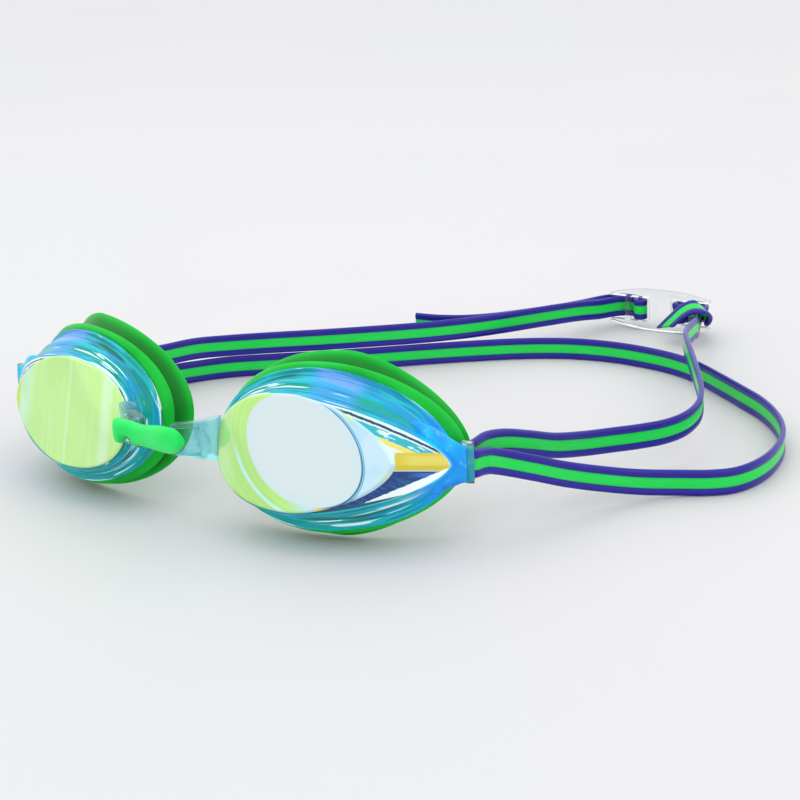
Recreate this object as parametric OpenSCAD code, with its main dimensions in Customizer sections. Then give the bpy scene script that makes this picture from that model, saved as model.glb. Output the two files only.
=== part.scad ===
// Swim goggles: two clear lens cups with soft gaskets, a nose bridge, a head strap and a back clip.
// Millimetres. +X is to the right of someone facing the lenses, -Y is the way they look, +Z is up.
// The origin lies on the surface the goggles stand on, under the middle of the front assembly.

/* [Lens cups] */
// Distance from the nose line to the middle of each cup
cup_offset = 36.6; // [36.4:0.1:37.4]
// Height of the middle of each cup above the surface
cup_rise = 21.7; // [21.6:0.1:22]
// Angle that each cup turns back towards the temple
cup_wrap = 12; // [11.5:0.5:12.5]
// Angle that each cup leans back at the top
cup_lean = 12.5; // [12:0.5:13]
// Depth of the front window in front of the flange
window_depth = 9.8; // [9.4:0.1:10]
// Thickness of the clear wall
lens_wall = 1.8; // [1.6:0.1:2]

/* [Gaskets] */
// Distance the face seal stands behind the flange
seal_depth = 4.7; // [4.6:0.1:4.9]
// Thickness of each of the two soft lips
lip_thickness = 1.6; // [1.5:0.1:1.7]

/* [Nose bridge] */
// Reach of the bridge's hooked end from the middle
hooked_reach = 9.8; // [9.6:0.1:10.2]
// Reach of the bridge's rounded end from the middle
rounded_reach = 10.2; // [10:0.1:10.8]
// Height of the bridge at its ends
bridge_height = 6.8; // [6.6:0.1:7.2]
// Thickness of the bridge from front to back
bridge_thickness = 3.4; // [3.2:0.1:3.6]

/* [Strap] */
// Width of the strap
strap_width = 6.6; // [6.4:0.1:6.6]
// Thickness of the strap
strap_thickness = 1.4; // [1.2:0.1:1.4]

/* [Back clip] */
// Length of the clip
clip_length = 33.4; // [33:0.1:34]
// Height of the clip at its middle
clip_height = 13.6; // [13.4:0.1:13.8]
// Thickness of the clip plate
clip_thickness = 2; // [1.8:0.1:2]

/* [Hidden] */

segments = 60;
fine = 40;

// A rim shape: nose reach, temple reach, half height, squareness at the nose and at the temple,
// how far it bends back at 30 mm from its middle on the nose and temple sides, its middle's offset
// across and up, and how far its temple side drops at 30 mm.
flange_shape = [26.1, 31.2, 18.6, 1.95, 1.95, 4.6, 8.8, -1.5, -0.2, -1.8];
window_shape = [20.3, 23.6, 13.4, 2.4, 1.6, 5.8, 4.1, -4, -0.7, -1.6];
front_lip_shape = [28, 31.4, 19.8, 2.2, 1.9, 7, 8.8, 0.2, 0, -0.4];
seal_shape = [31.8, 26.4, 21.7, 2.1, 1.65, 7.9, 12.5, 3.6, 0.7, -0.7];
flange_front = 2.4;
flange_back = 0.9;
seat_gap = 0.1;

// Strap anchor at each temple
post_x = 68.9;
post_y = 11.5;
post_r = 0.8;
anchor_z = 20.2;
anchor_height = 10.6;
anchor_plate = 1.2;
guard_gap = 2.55;
guard_wall = 1;
guard_span = 135;

// How far behind the nose bridge's face line the middle of the front assembly lies
middle_y = 1.4;

// Nose tab and the peg that the bridge buttons on to
tab_z = 23.6;
tab_height = 10;
tab_tip = 7.4;
peg_x = 7.2;
peg_r = 1.5;
peg_clearance = 0.1;
peg_tip_y = -18.4;
bridge_back_y = -16.6;
bridge_z = 24.2;

// Back clip
clip_x = 33.4;
clip_y = 186.5;
clip_z = 6.8;
clip_turn = 3;
clip_end_height = 9.2;
clip_window_start = 3.9;
clip_window_end = 9.9;
clip_fork_start = 11.7;
clip_window_height = 7.8;
clip_bar_x = 6.6;
clip_bar_r = 0.8;
// Height cut off the top and the bottom of the clip's arcs, which leaves a flat foot
clip_flat = 0.2;

// Turn that the strap takes round a post and round a clip bar
turn_r = 1.6;
weave_r = 1.6;

// Centre line of the lower run, from the right cup's anchor round to the left cup's
lower_route = [
    [70.5, 16.2, 18.85], [70.7, 17.6, 18.4], [72, 21.4, 16.9], [75.5, 28, 14], [79.5, 36, 10.4], [84.5, 44.5, 7.2], [90.5, 52.5, 4.7],
    [98, 59, 3.6], [104.5, 63, 3.4], [109, 67.5, 3.4], [111.4, 75, 3.4], [111.6, 85, 3.4], [109, 97.5, 3.4],
    [103.2, 109, 3.4], [95, 119, 3.4], [85.5, 127, 3.4], [76, 134.5, 3.4], [66.5, 141.5, 3.4], [56, 146.5, 3.4],
    [44, 149, 3.4], [32, 149.2, 3.4], [20, 146.5, 3.4], [8, 140.5, 3.4], [-4, 132, 3.4], [-16, 122.5, 3.4],
    [-28, 112.5, 3.4], [-40, 103, 3.4], [-52, 94, 3.4], [-62, 86, 3.4], [-69.5, 76.5, 3.4], [-73.5, 66, 4.2],
    [-75, 54, 6.5], [-75, 42, 9.8], [-73.6, 30, 13.8], [-71.6, 22, 16.8], [-70.7, 17.6, 18.4],
    [-70.5, 16.2, 18.85]
];
// Centre line of the right upper run, from the right cup's anchor to the clip
right_upper_route = [
    [67.3, 16.2, 20.6], [67.3, 21, 20.6], [68.2, 28, 19.2], [69.8, 37, 16.2], [71.5, 46, 13], [73.8, 56, 10.6],
    [77.2, 64.6, 9.3], [81.4, 71.6, 8.7], [85.4, 78.4, 8.5], [87.6, 86, 8.7], [87, 95, 9.2], [83.2, 105.2, 9.8],
    [76.8, 117, 10.3], [70, 129, 10.6], [63.2, 140.8, 10.6], [57.6, 152.5, 9.7], [54.6, 163, 8.6],
    [52.6, 170.8, 7.6], [51.6, 173.38, 6.7]
];
// Centre line of the left upper run, from the left cup's anchor to the clip
left_upper_route = [
    [-67.3, 16.2, 20.6], [-67.8, 23, 19.9], [-69.6, 33, 17.3], [-71.2, 45, 14.3], [-71.8, 57, 12.2], [-71, 68, 11],
    [-68, 78.5, 10.5], [-61.5, 86.3, 10.2], [-52, 94, 10.2], [-40, 103, 10.2], [-28, 112.6, 10.2],
    [-16, 122.8, 10.2], [-6.5, 132.2, 10.3], [0.6, 142.5, 10.1], [5.8, 153.3, 9.6], [10, 163.6, 8.9],
    [12.7, 172, 8], [15.2, 179.05, 7]
];
// Centre lines of the ends threaded through the clip, measured from the clip's middle and outwards
right_lead_in = [
    [17.4, -13.8, -0.3], [16, -9.2, -1], [14.6, -4.8, -0.6], [13.6, -1.6, -0.2], [13.2, 0.4, 0], [12.2, 1.7, 0],
    [10.9, 1.9, 0], [9.5, 1.8, 0]
];
left_lead_in = [[18.4, -6.3, 0.1], [16.6, -2.6, 0], [14.4, 0.2, 0], [11.8, 1.8, 0], [9.5, 1.8, 0]];
right_tail = [
    [7.4, 2.8, 0], [10, 3.7, 0], [12.9, 3.6, 0], [14.8, 2, 0], [15.6, -0.2, 0], [15.9, -1.4, 0.1, 6],
    [16.4, -3.2, 1.2, 30], [16.7, -5, 3, 52], [16, -7.2, 4.5, 66], [13.8, -9, 4.7, 70], [11.2, -10.4, 3.2, 62],
    [8.8, -11.4, 0.8, 54], [6.8, -12.1, -1.4, 50]
];
left_tail = [
    [7.4, 2.8, 0], [10, 3.8, 0], [13, 4.1, 0], [15.9, 3, 0], [18.5, 0.4, 0.1], [20.7, -4.4, 0.3], [22.4, -9, 0.5],
    [23.8, -13, 0.8], [26.7, -21, 1.4], [31.5, -31, 2.2], [37.6, -41, 2.8], [44, -47.8, 3.2], [51.4, -51.4, 3.4],
    [59.2, -52.6, 3.5]
];

function signed_power(value, exponent) = sign(value) * pow(abs(value), exponent);
function mix(a, b, t) = [for (i = [0:len(a) - 1]) a[i] + (b[i] - a[i]) * t];

// One point of a rim, drawn in from its edge by inset and set forward by depth
function rim_point(shape, inset, depth, angle) =
    let (
        c = cos(angle),
        s = sin(angle),
        reach = (c < 0 ? shape[0] : shape[1]) - inset,
        squareness = c < 0 ? shape[3] : shape[4],
        across = reach * signed_power(c, 2 / squareness) + shape[7],
        bend = across < 0 ? shape[5] : shape[6],
        drop = across < 0 ? 0 : shape[9] * pow(across / 30, 2),
        up = (shape[2] - inset) * signed_power(s, 2 / squareness) + shape[8] + drop
    )
    [across, bend * pow(across / 30, 2) - depth, up];

function rim_points(rims) = [
    for (rim = rims, i = [0:segments - 1]) rim_point(rim[0], rim[1], rim[2], 360 * i / segments)
];

// Side faces between each pair of neighbouring rings of n points; a closed loop also joins last to first
function ring_faces(count, n, closed) = [
    for (k = [0:count - (closed ? 1 : 2)], i = [0:n - 1])
        let (a = k * n, b = ((k + 1) % count) * n, j = (i + 1) % n)
        [a + i, a + j, b + j, b + i]
];

// A solid swept through a stack of rims, its two ends closed to a middle point
module capped_stack(rims) {
    count = len(rims);
    middles = [for (rim = [rims[0], rims[count - 1]]) [rim[0][7], -rim[2], rim[0][8]]];
    total = count * segments;
    first_cap = [for (i = [0:segments - 1]) [total, (i + 1) % segments, i]];
    last_cap = [for (i = [0:segments - 1]) [total + 1, total - segments + i, total - segments + (i + 1) % segments]];
    polyhedron(
        points = concat(rim_points(rims), middles),
        faces = concat(ring_faces(count, segments, false), first_cap, last_cap),
        convexity = 6
    );
}

// A ring-shaped solid whose section is the closed loop of rims
module looped_stack(rims) {
    polyhedron(points = rim_points(rims), faces = ring_faces(len(rims), segments, true), convexity = 6);
}

module place_cup() {
    translate([cup_offset, 0, cup_rise]) rotate([0, 0, cup_wrap]) rotate([-cup_lean, 0, 0]) children();
}

module lens_shell() {
    shoulder_shape = mix(flange_shape, window_shape, 0.25);
    shelf_shape = mix(flange_shape, window_shape, 0.5);
    inner_shape = mix(flange_shape, window_shape, 0.6);
    capped_stack([
        [window_shape, 1.9, window_depth - 0.8],
        [window_shape, 1.2, window_depth],
        [window_shape, 0.3, window_depth],
        [window_shape, -0.3, window_depth - 0.7],
        [shelf_shape, 1.4, 6],
        [shoulder_shape, 1.4, 5.5],
        [flange_shape, 1.6, flange_front + 0.4],
        [flange_shape, 0.2, flange_front],
        [flange_shape, 0, flange_back],
        [flange_shape, 2.6 + lens_wall, flange_back],
        [shoulder_shape, 1.8 + lens_wall, 2.8],
        [inner_shape, 1.2 + lens_wall, 4.8],
        [window_shape, 1.6 + lens_wall, window_depth - 0.8 - lens_wall]
    ]);
}

module nose_tab() {
    intersection() {
        translate([0, 0, tab_z - tab_height / 2])
            linear_extrude(tab_height)
                polygon([[14.8, -11.6], [11, -13.8], [4.6, -16.3], [4.6, -13.8], [9.4, -11.4], [12.8, -7]]);
        translate([0, 0, tab_z])
            rotate([90, 0, 0])
                linear_extrude(20)
                    polygon([[4.5, -tab_tip / 2], [4.5, tab_tip / 2], [15, tab_height / 2], [15, -tab_height / 2]]);
    }
    translate([peg_x, -13.8, bridge_z])
        rotate([90, 0, 0])
            cylinder(h = -13.8 - peg_tip_y, r = peg_r, $fn = fine);
}

// A slice of a tube about the post, from the cup's side round its front
module guard_slice(inner, outer, span, height) {
    rotate([0, 0, 180])
        rotate_extrude(angle = span, $fn = 72)
            translate([inner, 0])
                square([outer - inner, height]);
}

module strap_anchor() {
    low = anchor_z - anchor_height / 2;
    guard_r = guard_gap + guard_wall;
    translate([0, 0, low])
        linear_extrude(anchor_height)
            polygon([[58, -2.5], [62.5, 0.5], [67.8, 8.3], [66.5, 9.7], [65.7, 10.9], [63, 10], [59, 5]]);
    translate([post_x, post_y, low]) {
        guard_slice(guard_gap, guard_r, guard_span, anchor_height);
        for (plate = [0, anchor_height - anchor_plate])
            translate([0, 0, plate]) {
                guard_slice(0, guard_r, guard_span, anchor_plate);
                cylinder(h = anchor_plate, r = 1.4, $fn = fine);
            }
        translate([0, 0, anchor_plate / 2])
            cylinder(h = anchor_height - anchor_plate, r = post_r, $fn = fine);
    }
}

module lens_cup() {
    color("paleturquoise", 0.6)
        union() {
            place_cup() lens_shell();
            nose_tab();
            strap_anchor();
        }
}

module gasket() {
    throat = 2.8 + lens_wall;
    seat = flange_back - seat_gap;
    groove_shape = mix(front_lip_shape, seal_shape, 0.45);
    color("limegreen")
        place_cup()
            looped_stack([
                [flange_shape, throat, seat],
                [flange_shape, 1.2, seat],
                [front_lip_shape, 0.7, seat],
                [front_lip_shape, 0, seat - lip_thickness / 2],
                [front_lip_shape, 0.7, seat - lip_thickness],
                [groove_shape, 4.2, seat - lip_thickness - 0.8],
                [seal_shape, 2, -seal_depth + lip_thickness / 2],
                [seal_shape, 0, -seal_depth],
                [seal_shape, 0.7, -seal_depth - lip_thickness / 2],
                [seal_shape, 5.5, -seal_depth - lip_thickness / 2],
                [groove_shape, 6.4, seat - lip_thickness - 1.8]
            ]);
}

module nose_bridge() {
    end_r = bridge_height / 2;
    waist = bridge_height - 1.2;
    color("limegreen")
        translate([0, bridge_back_y, bridge_z])
            rotate([90, 0, 0])
                difference() {
                    linear_extrude(bridge_thickness) {
                        translate([1 - hooked_reach, -waist / 2]) square([hooked_reach + rounded_reach - 1 - end_r, waist]);
                        translate([rounded_reach - end_r, 0]) circle(r = end_r, $fn = fine);
                        translate([-hooked_reach, -end_r]) square([4.6, bridge_height]);
                    }
                    for (side = [-1, 1])
                        translate([side * peg_x, 0, -1])
                            cylinder(
                                h = 1 + bridge_back_y - peg_tip_y + peg_clearance,
                                r = peg_r + peg_clearance,
                                $fn = fine
                            );
                }
}

// The strap's section is an upright bar with cut corners; it stays upright along the route
section_sides = 8;
function section_point(i, w, t) =
    let (
        corner = 0.32,
        table = [
            [0.5, -0.5 + corner / 2], [0.5, 0.5 - corner / 2], [corner / 2, 0.5], [-corner / 2, 0.5],
            [-0.5, 0.5 - corner / 2], [-0.5, -0.5 + corner / 2], [-corner / 2, -0.5], [corner / 2, -0.5]
        ]
    )
    [table[i][0] * t, table[i][1] * w];
function unit(v) = v / norm(v);
function flat_direction(route, k) =
    let (
        ahead = route[min(k + 1, len(route) - 1)],
        behind = route[max(k - 1, 0)]
    )
    unit([ahead[0] - behind[0], ahead[1] - behind[1], 0]);
// How far the band leans over at a point of its route; it stands upright where the route gives no angle
function lean(point) = len(point) > 3 ? point[3] : 0;
function ribbon_points(route) = [
    for (k = [0:len(route) - 1], i = [0:section_sides - 1])
        let (
            along = flat_direction(route, k),
            side = [along[1], -along[0], 0],
            p = section_point(i, strap_width, strap_thickness),
            tilt = lean(route[k]),
            out = p[0] * cos(tilt) + p[1] * sin(tilt),
            up = p[1] * cos(tilt) - p[0] * sin(tilt)
        )
        [route[k][0] + side[0] * out, route[k][1] + side[1] * out, route[k][2] + up]
];

module ribbon(route) {
    count = len(route);
    polyhedron(
        points = ribbon_points(route),
        faces = concat(
            ring_faces(count, section_sides, false),
            [[for (i = [section_sides - 1:-1:0]) i]],
            [[for (i = [0:section_sides - 1]) (count - 1) * section_sides + i]]
        ),
        convexity = 8
    );
}

// The U-turn round a cup's post, from the outer run's start to the inner run's start
loop_route = concat(
    [[post_x + turn_r, 16, 18.9], [post_x + turn_r, 13.6, 19.5]],
    [
        for (i = [0:8])
            let (angle = -i * 180 / 8)
            [post_x + turn_r * cos(angle), post_y + turn_r * sin(angle), 19.8 + i / 16]
    ],
    [[post_x - turn_r, 13.6, 20.5], [post_x - turn_r, 16, 20.6]]
);

module strap_loop() {
    color("mediumblue") ribbon(loop_route);
}

// The turn over a clip bar, then the tail, all measured outwards from the clip's middle
function weave_route(lead_in, tail) = concat(
    lead_in,
    [
        for (i = [0:9])
            let (angle = 8 - i * 232 / 9)
            [clip_bar_x + weave_r * cos(angle), weave_r * sin(angle), 0]
    ],
    tail
);

module place_clip() {
    translate([clip_x, clip_y, clip_z]) rotate([0, 0, clip_turn]) children();
}

module right_strap_end() {
    color("mediumblue") place_clip() ribbon(weave_route(right_lead_in, right_tail));
}

module left_strap_end() {
    mirrored = [for (p = weave_route(left_lead_in, left_tail)) [-p[0], p[1], p[2]]];
    color("mediumblue") place_clip() ribbon(mirrored);
}

module clip_outline() {
    half = clip_length / 2;
    drop = (clip_height - clip_end_height) / 2;
    arc_r = (half * half + drop * drop) / (2 * drop);
    intersection() {
        translate([0, clip_height / 2 - arc_r]) circle(r = arc_r, $fn = 180);
        translate([0, arc_r - clip_height / 2]) circle(r = arc_r, $fn = 180);
        square([clip_length, clip_height - 2 * clip_flat], center = true);
    }
}

module back_clip() {
    half = clip_length / 2;
    color("white", 0.5)
        place_clip()
            rotate([90, 0, 0])
                union() {
                    translate([0, 0, -clip_thickness / 2])
                        linear_extrude(clip_thickness)
                            difference() {
                                clip_outline();
                                for (side = [-1, 1]) {
                                    translate([side * (clip_window_start + clip_window_end) / 2, 0])
                                        square([clip_window_end - clip_window_start, clip_window_height], center = true);
                                    translate([side * (clip_fork_start + half + 1) / 2, 0])
                                        square([half + 1 - clip_fork_start, clip_window_height], center = true);
                                }
                            }
                    for (side = [-1, 1])
                        translate([side * clip_bar_x, clip_window_height / 2 + 0.5, 0])
                            rotate([90, 0, 0])
                                cylinder(h = clip_window_height + 1, r = clip_bar_r, $fn = fine);
                }
}

module left() {
    mirror([1, 0, 0]) children();
}

// Sets the middle of the front assembly over the origin
module centred() {
    translate([0, -middle_y, 0]) children();
}

centred() left() lens_cup();  // left_lens_cup
centred() lens_cup();  // right_lens_cup
centred() left() gasket();  // left_gasket
centred() gasket();  // right_gasket
centred() nose_bridge();
centred() left() strap_loop();  // left_strap_loop
centred() strap_loop();  // right_strap_loop
centred() color("mediumblue") ribbon(lower_route);  // lower_strap
centred() color("mediumblue") ribbon(left_upper_route);  // left_upper_strap
centred() color("mediumblue") ribbon(right_upper_route);  // right_upper_strap
centred() back_clip();
centred() left_strap_end();
centred() right_strap_end();
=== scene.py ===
import math

import bmesh
import bpy
import numpy as np
from mathutils import Matrix, Vector


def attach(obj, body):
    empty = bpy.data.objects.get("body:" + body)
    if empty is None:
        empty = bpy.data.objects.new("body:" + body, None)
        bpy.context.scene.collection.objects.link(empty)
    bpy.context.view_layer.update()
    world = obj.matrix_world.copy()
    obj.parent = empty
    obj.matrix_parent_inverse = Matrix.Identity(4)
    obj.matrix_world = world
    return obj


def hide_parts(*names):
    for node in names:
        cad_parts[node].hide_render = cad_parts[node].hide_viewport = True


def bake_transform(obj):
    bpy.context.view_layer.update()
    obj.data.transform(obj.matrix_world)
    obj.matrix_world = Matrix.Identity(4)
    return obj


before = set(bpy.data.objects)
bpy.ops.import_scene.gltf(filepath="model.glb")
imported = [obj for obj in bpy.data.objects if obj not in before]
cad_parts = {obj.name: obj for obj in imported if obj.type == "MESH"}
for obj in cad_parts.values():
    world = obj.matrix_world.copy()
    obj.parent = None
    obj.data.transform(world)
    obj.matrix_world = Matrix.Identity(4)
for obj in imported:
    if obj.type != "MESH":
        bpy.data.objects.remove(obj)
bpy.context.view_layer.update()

# Places are in millimetres, in the CAD's frame, unless a comment says otherwise.
MM = 0.001
MIDDLE_Y = 1.4  # how far the frame's origin lies behind the drawing's
ROUND_STEPS = 240  # points round each rim of a cup

# ---------------------------------------------------------------- camera
EYE = (255.18, -292.76, 152.65)
YAW = math.radians(34.07)
PITCH = math.radians(18.3)
ROLL = math.radians(-2.515)
FOCAL = 76.2


def make_camera():
    forward = Vector((-math.sin(YAW) * math.cos(PITCH), math.cos(YAW) * math.cos(PITCH), -math.sin(PITCH)))
    level = Vector((math.cos(YAW), math.sin(YAW), 0))
    over = level.cross(forward)
    right = level * math.cos(ROLL) + over * math.sin(ROLL)
    up = over * math.cos(ROLL) - level * math.sin(ROLL)
    data = bpy.data.cameras.new("camera")
    data.lens = FOCAL
    data.sensor_width = 36
    data.clip_start = 0.01
    camera = bpy.data.objects.new("camera", data)
    facing = Matrix((right, up, -forward)).transposed().to_4x4()
    camera.matrix_world = Matrix.Translation(Vector(EYE) * MM) @ facing
    bpy.context.scene.collection.objects.link(camera)
    bpy.context.scene.camera = camera


make_camera()


# ---------------------------------------------------------------- mesh helpers
def linear(hex_colour):
    parts = [int(hex_colour[i:i + 2], 16) / 255 for i in (0, 2, 4)]
    return tuple(c / 12.92 if c < 0.04045 else ((c + 0.055) / 1.055) ** 2.4 for c in parts) + (1.0,)


def new_object(name, points, faces, materials):
    """A smooth-shaded mesh object from points in millimetres."""
    mesh = bpy.data.meshes.new(name)
    mesh.from_pydata([tuple(p) for p in np.asarray(points, float) * MM], [], faces)
    for material in materials:
        mesh.materials.append(material)
    mesh.validate()
    mesh.update()
    mesh.polygons.foreach_set("use_smooth", [True] * len(mesh.polygons))
    piece = bpy.data.objects.new(name, mesh)
    bpy.context.scene.collection.objects.link(piece)
    return piece


def store(piece, name, values):
    """Keeps three numbers at each point, for a material to read."""
    attribute = piece.data.attributes.new(name, "FLOAT_VECTOR", "POINT")
    attribute.data.foreach_set("vector", np.asarray(values, np.float32).ravel())


def grid_faces(count, n, closed=False):
    """Faces between neighbouring rings of n points each."""
    faces = []
    for k in range(count if closed else count - 1):
        a, b = k * n, ((k + 1) % count) * n
        for i in range(n):
            j = (i + 1) % n
            faces.append((a + i, b + i, b + j, a + j))
    return faces


def end_faces(count, n):
    """The two faces that close a stack of rings."""
    return [tuple(range(n)), tuple((count - 1) * n + i for i in range(n - 1, -1, -1))]


def fix_normals(piece):
    """Turns every face outwards."""
    work = bmesh.new()
    work.from_mesh(piece.data)
    bmesh.ops.recalc_face_normals(work, faces=work.faces)
    work.to_mesh(piece.data)
    work.free()


def round_corners(rings, ratio, rounds, closed):
    """Cuts each corner of a stack of rings, by a ratio and then by quarters, so that its profile is rounded."""
    for _ in range(rounds):
        out = [] if closed else [rings[0]]
        pairs = zip(rings, rings[1:] + rings[:1]) if closed else zip(rings, rings[1:])
        for a, b in pairs:
            out += [a + (b - a) * ratio, b + (a - b) * ratio]
        if not closed:
            out.append(rings[-1])
        rings = out
        ratio = 0.25
    return rings


def smooth_line(points, step, closest=0.3):
    """A smooth line through the points, with a point about every step. It skips a point that is too near the last."""
    pts = [np.array(points[0], float)]
    for p in points[1:]:
        if np.linalg.norm(np.array(p) - pts[-1]) > closest:
            pts.append(np.array(p, float))
    pts = np.array(pts)
    ext = np.vstack([2 * pts[0] - pts[1], pts, 2 * pts[-1] - pts[-2]])
    out = []
    for k in range(1, len(ext) - 2):
        p0, p1, p2, p3 = ext[k - 1:k + 3]
        n = max(2, int(round(np.linalg.norm(p2 - p1) / step)))
        for i in range(n):
            t = i / n
            out.append(0.5 * (2 * p1 + (p2 - p0) * t + (2 * p0 - 5 * p1 + 4 * p2 - p3) * t ** 2
                              + (3 * p1 - p0 - 3 * p2 + p3) * t ** 3))
    out.append(pts[-1])
    return np.array(out)


def eased(x, low, high):
    """0 below low, 1 above high, smooth between them."""
    t = min(1.0, max(0.0, (x - low) / (high - low)))
    return t * t * (3 - 2 * t)


# ---------------------------------------------------------------- material helpers
class Field:
    """A number that a material works out at each point, with ordinary arithmetic."""

    def __init__(self, tree, socket):
        self.tree = tree
        self.socket = socket

    def math(self, operation, other=0.0):
        node = self.tree.nodes.new("ShaderNodeMath")
        node.operation = operation
        for value, socket in zip((self, other), node.inputs):
            if isinstance(value, Field):
                self.tree.links.new(value.socket, socket)
            else:
                socket.default_value = value
        return Field(self.tree, node.outputs[0])

    def __add__(self, other):
        return self.math("ADD", other)

    def __sub__(self, other):
        return self.math("SUBTRACT", other)

    def __mul__(self, other):
        return self.math("MULTIPLY", other)

    def __truediv__(self, other):
        return self.math("DIVIDE", other)

    def size(self):
        return self.math("ABSOLUTE")

    def power(self, exponent):
        return self.size().math("POWER", exponent)

    def rise(self, low, high):
        """0 at low, 1 at high, smooth between them. Low may be the greater of the two."""
        node = self.tree.nodes.new("ShaderNodeMapRange")
        node.interpolation_type = "SMOOTHSTEP"
        self.tree.links.new(self.socket, node.inputs["Value"])
        backwards = low > high
        node.inputs["From Min"].default_value = min(low, high)
        node.inputs["From Max"].default_value = max(low, high)
        node.inputs["To Min"].default_value = 1.0 if backwards else 0.0
        node.inputs["To Max"].default_value = 0.0 if backwards else 1.0
        return Field(self.tree, node.outputs[0])

    def band(self, centre, half, soft):
        """1 within half of the centre, and 0 past the soft edge outside it."""
        return (self - centre).size().rise(half + soft, half)


class Material:
    """A material and short ways to add nodes to it."""

    def __init__(self, name):
        self.material = bpy.data.materials.new(name)
        self.material.use_nodes = True
        self.tree = self.material.node_tree
        self.tree.nodes.clear()
        self.output = self.tree.nodes.new("ShaderNodeOutputMaterial")

    def node(self, kind, **values):
        node = self.tree.nodes.new(kind)
        for key, value in values.items():
            self.put(node.inputs[key.replace("_", " ")], value)
        return node

    def put(self, socket, value):
        if isinstance(value, Field):
            self.tree.links.new(value.socket, socket)
        elif isinstance(value, bpy.types.NodeSocket):
            self.tree.links.new(value, socket)
        else:
            socket.default_value = value

    def parts(self, attribute):
        """The three numbers of a stored attribute."""
        source = self.tree.nodes.new("ShaderNodeAttribute")
        source.attribute_name = attribute
        split = self.tree.nodes.new("ShaderNodeSeparateXYZ")
        self.tree.links.new(source.outputs["Vector"], split.inputs[0])
        return [Field(self.tree, socket) for socket in split.outputs]

    def place(self):
        """The point's place in the object, in metres."""
        source = self.tree.nodes.new("ShaderNodeTexCoord")
        return source.outputs["Object"]

    def joined(self, x, y, z):
        node = self.tree.nodes.new("ShaderNodeCombineXYZ")
        for value, socket in zip((x, y, z), node.inputs):
            self.put(socket, value)
        return node.outputs[0]

    def noise(self, vector, scale, detail=3.0, roughness=0.5):
        node = self.node("ShaderNodeTexNoise", Scale=scale, Detail=detail, Roughness=roughness)
        self.tree.links.new(vector, node.inputs["Vector"])
        return Field(self.tree, node.outputs["Fac"])

    def mix(self, amount, low, high):
        node = self.tree.nodes.new("ShaderNodeMix")
        node.data_type = "RGBA"
        self.put(node.inputs[0], amount)
        self.put(node.inputs[6], low)
        self.put(node.inputs[7], high)
        return node.outputs[2]

    def paint(self, base, layers):
        """Lays colours over each other, each where its field is 1."""
        colour = linear(base) if isinstance(base, str) else base
        for amount, over in layers:
            colour = self.mix(amount, colour, linear(over) if isinstance(over, str) else over)
        return colour

    def bump(self, height, strength, distance):
        node = self.node("ShaderNodeBump", Strength=strength, Distance=distance)
        self.put(node.inputs["Height"], height)
        return node.outputs[0]

    def blend(self, amount, low, high):
        node = self.tree.nodes.new("ShaderNodeMixShader")
        self.put(node.inputs[0], amount)
        self.put(node.inputs[1], low)
        self.put(node.inputs[2], high)
        return node.outputs[0]

    def finish(self, surface):
        self.put(self.output.inputs["Surface"], surface)
        return self.material


def silicone(name, deep, body, light, roughness, grain, shaded_groove=False):
    """Soft moulded silicone: a slow drift of shade, a satin skin, and a fine grain. Where it is folded, painted shade
    in the deep colour darkens the groove.
    """
    m = Material(name)
    place = m.place()
    drift = m.noise(place, 60, 2)
    speck = m.noise(place, 2600, 2)
    colour = m.paint(body, [
        (drift.rise(0.42, 0.75) * 0.5, light),
        (drift.rise(0.5, 0.25) * 0.35, deep),
        (speck.rise(0.62, 0.8) * 0.25, light),
    ])
    # painted shade: the deep colour laid into the gasket's groove, as much as the stored groove number says
    if shaded_groove:
        colour = m.mix(m.parts("groove_shade")[0].rise(0.15, 0.9) * 0.8, colour, linear(deep))
    surface = m.node(
        "ShaderNodeBsdfPrincipled", Base_Color=colour, Roughness=speck * 0.12 + roughness,
        Subsurface_Weight=0.08, Subsurface_Scale=0.002, Coat_Weight=0.05, Coat_Roughness=0.3,
        Specular_IOR_Level=0.18,
        Normal=m.bump(speck, 0.12, grain),
    )
    surface.inputs["Subsurface Radius"].default_value = (0.4, 1.0, 0.4)
    return m.finish(surface.outputs[0])


def strap_material():
    """Two-colour band: a green core between blue-violet rails, polished, with fine lengthwise drag lines and painted
    shade in the step where core and rails meet.
    """
    m = Material("strap_band")
    across, along, _ = m.parts("strip")
    rail = across.size().rise(1.28, 1.40)
    drag = m.noise(m.joined(across * 3.0, along * 0.05, 0.0), 2.2, 4)
    fleck = m.noise(m.joined(across, along, 0.0), 5.0, 2)
    core = m.paint("12D04C", [
        (drag.rise(0.4, 0.7) * 0.6, "2CE062"),
        (fleck.rise(0.64, 0.8) * 0.2, "6CEA8C"),
        # painted shade: the core darker towards the rails, in the step where it meets them
        (across.size().rise(0.9, 1.3) * 0.4, "12A83C"),
    ])
    rails = m.paint("1A128C", [
        (drag.rise(0.45, 0.75) * 0.6, "2A20A6"),
        (fleck.rise(0.6, 0.8) * 0.2, "4A48BC"),
        # painted shade: the rails darker towards the core, in the same step
        (across.size().rise(1.75, 1.4) * 0.7, "141A70"),
    ])
    surface = m.node(
        "ShaderNodeBsdfPrincipled", Base_Color=m.mix(rail, core, rails), Roughness=drag * 0.2 + 0.24,
        Coat_Weight=rail * 0.15, Coat_Roughness=0.15, Specular_IOR_Level=0.3,
        Normal=m.bump(drag, 0.15, 0.0001),
    )
    return m.finish(surface.outputs[0])


def clear_shader(m, tint, gloss_colour, roughness, normal=None, ior=1.55):
    """Thin clear plastic: light passes straight through, tinted, under a glossy skin."""
    through = m.node("ShaderNodeBsdfTransparent", Color=tint)
    skin = m.node("ShaderNodeBsdfGlossy", Color=gloss_colour, Roughness=roughness)
    edge = m.node("ShaderNodeFresnel", IOR=ior)
    if normal is not None:
        m.put(skin.inputs["Normal"], normal)
        m.put(edge.inputs["Normal"], normal)
    return m.blend(Field(m.tree, edge.outputs[0]), through.outputs[0], skin.outputs[0])


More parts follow.
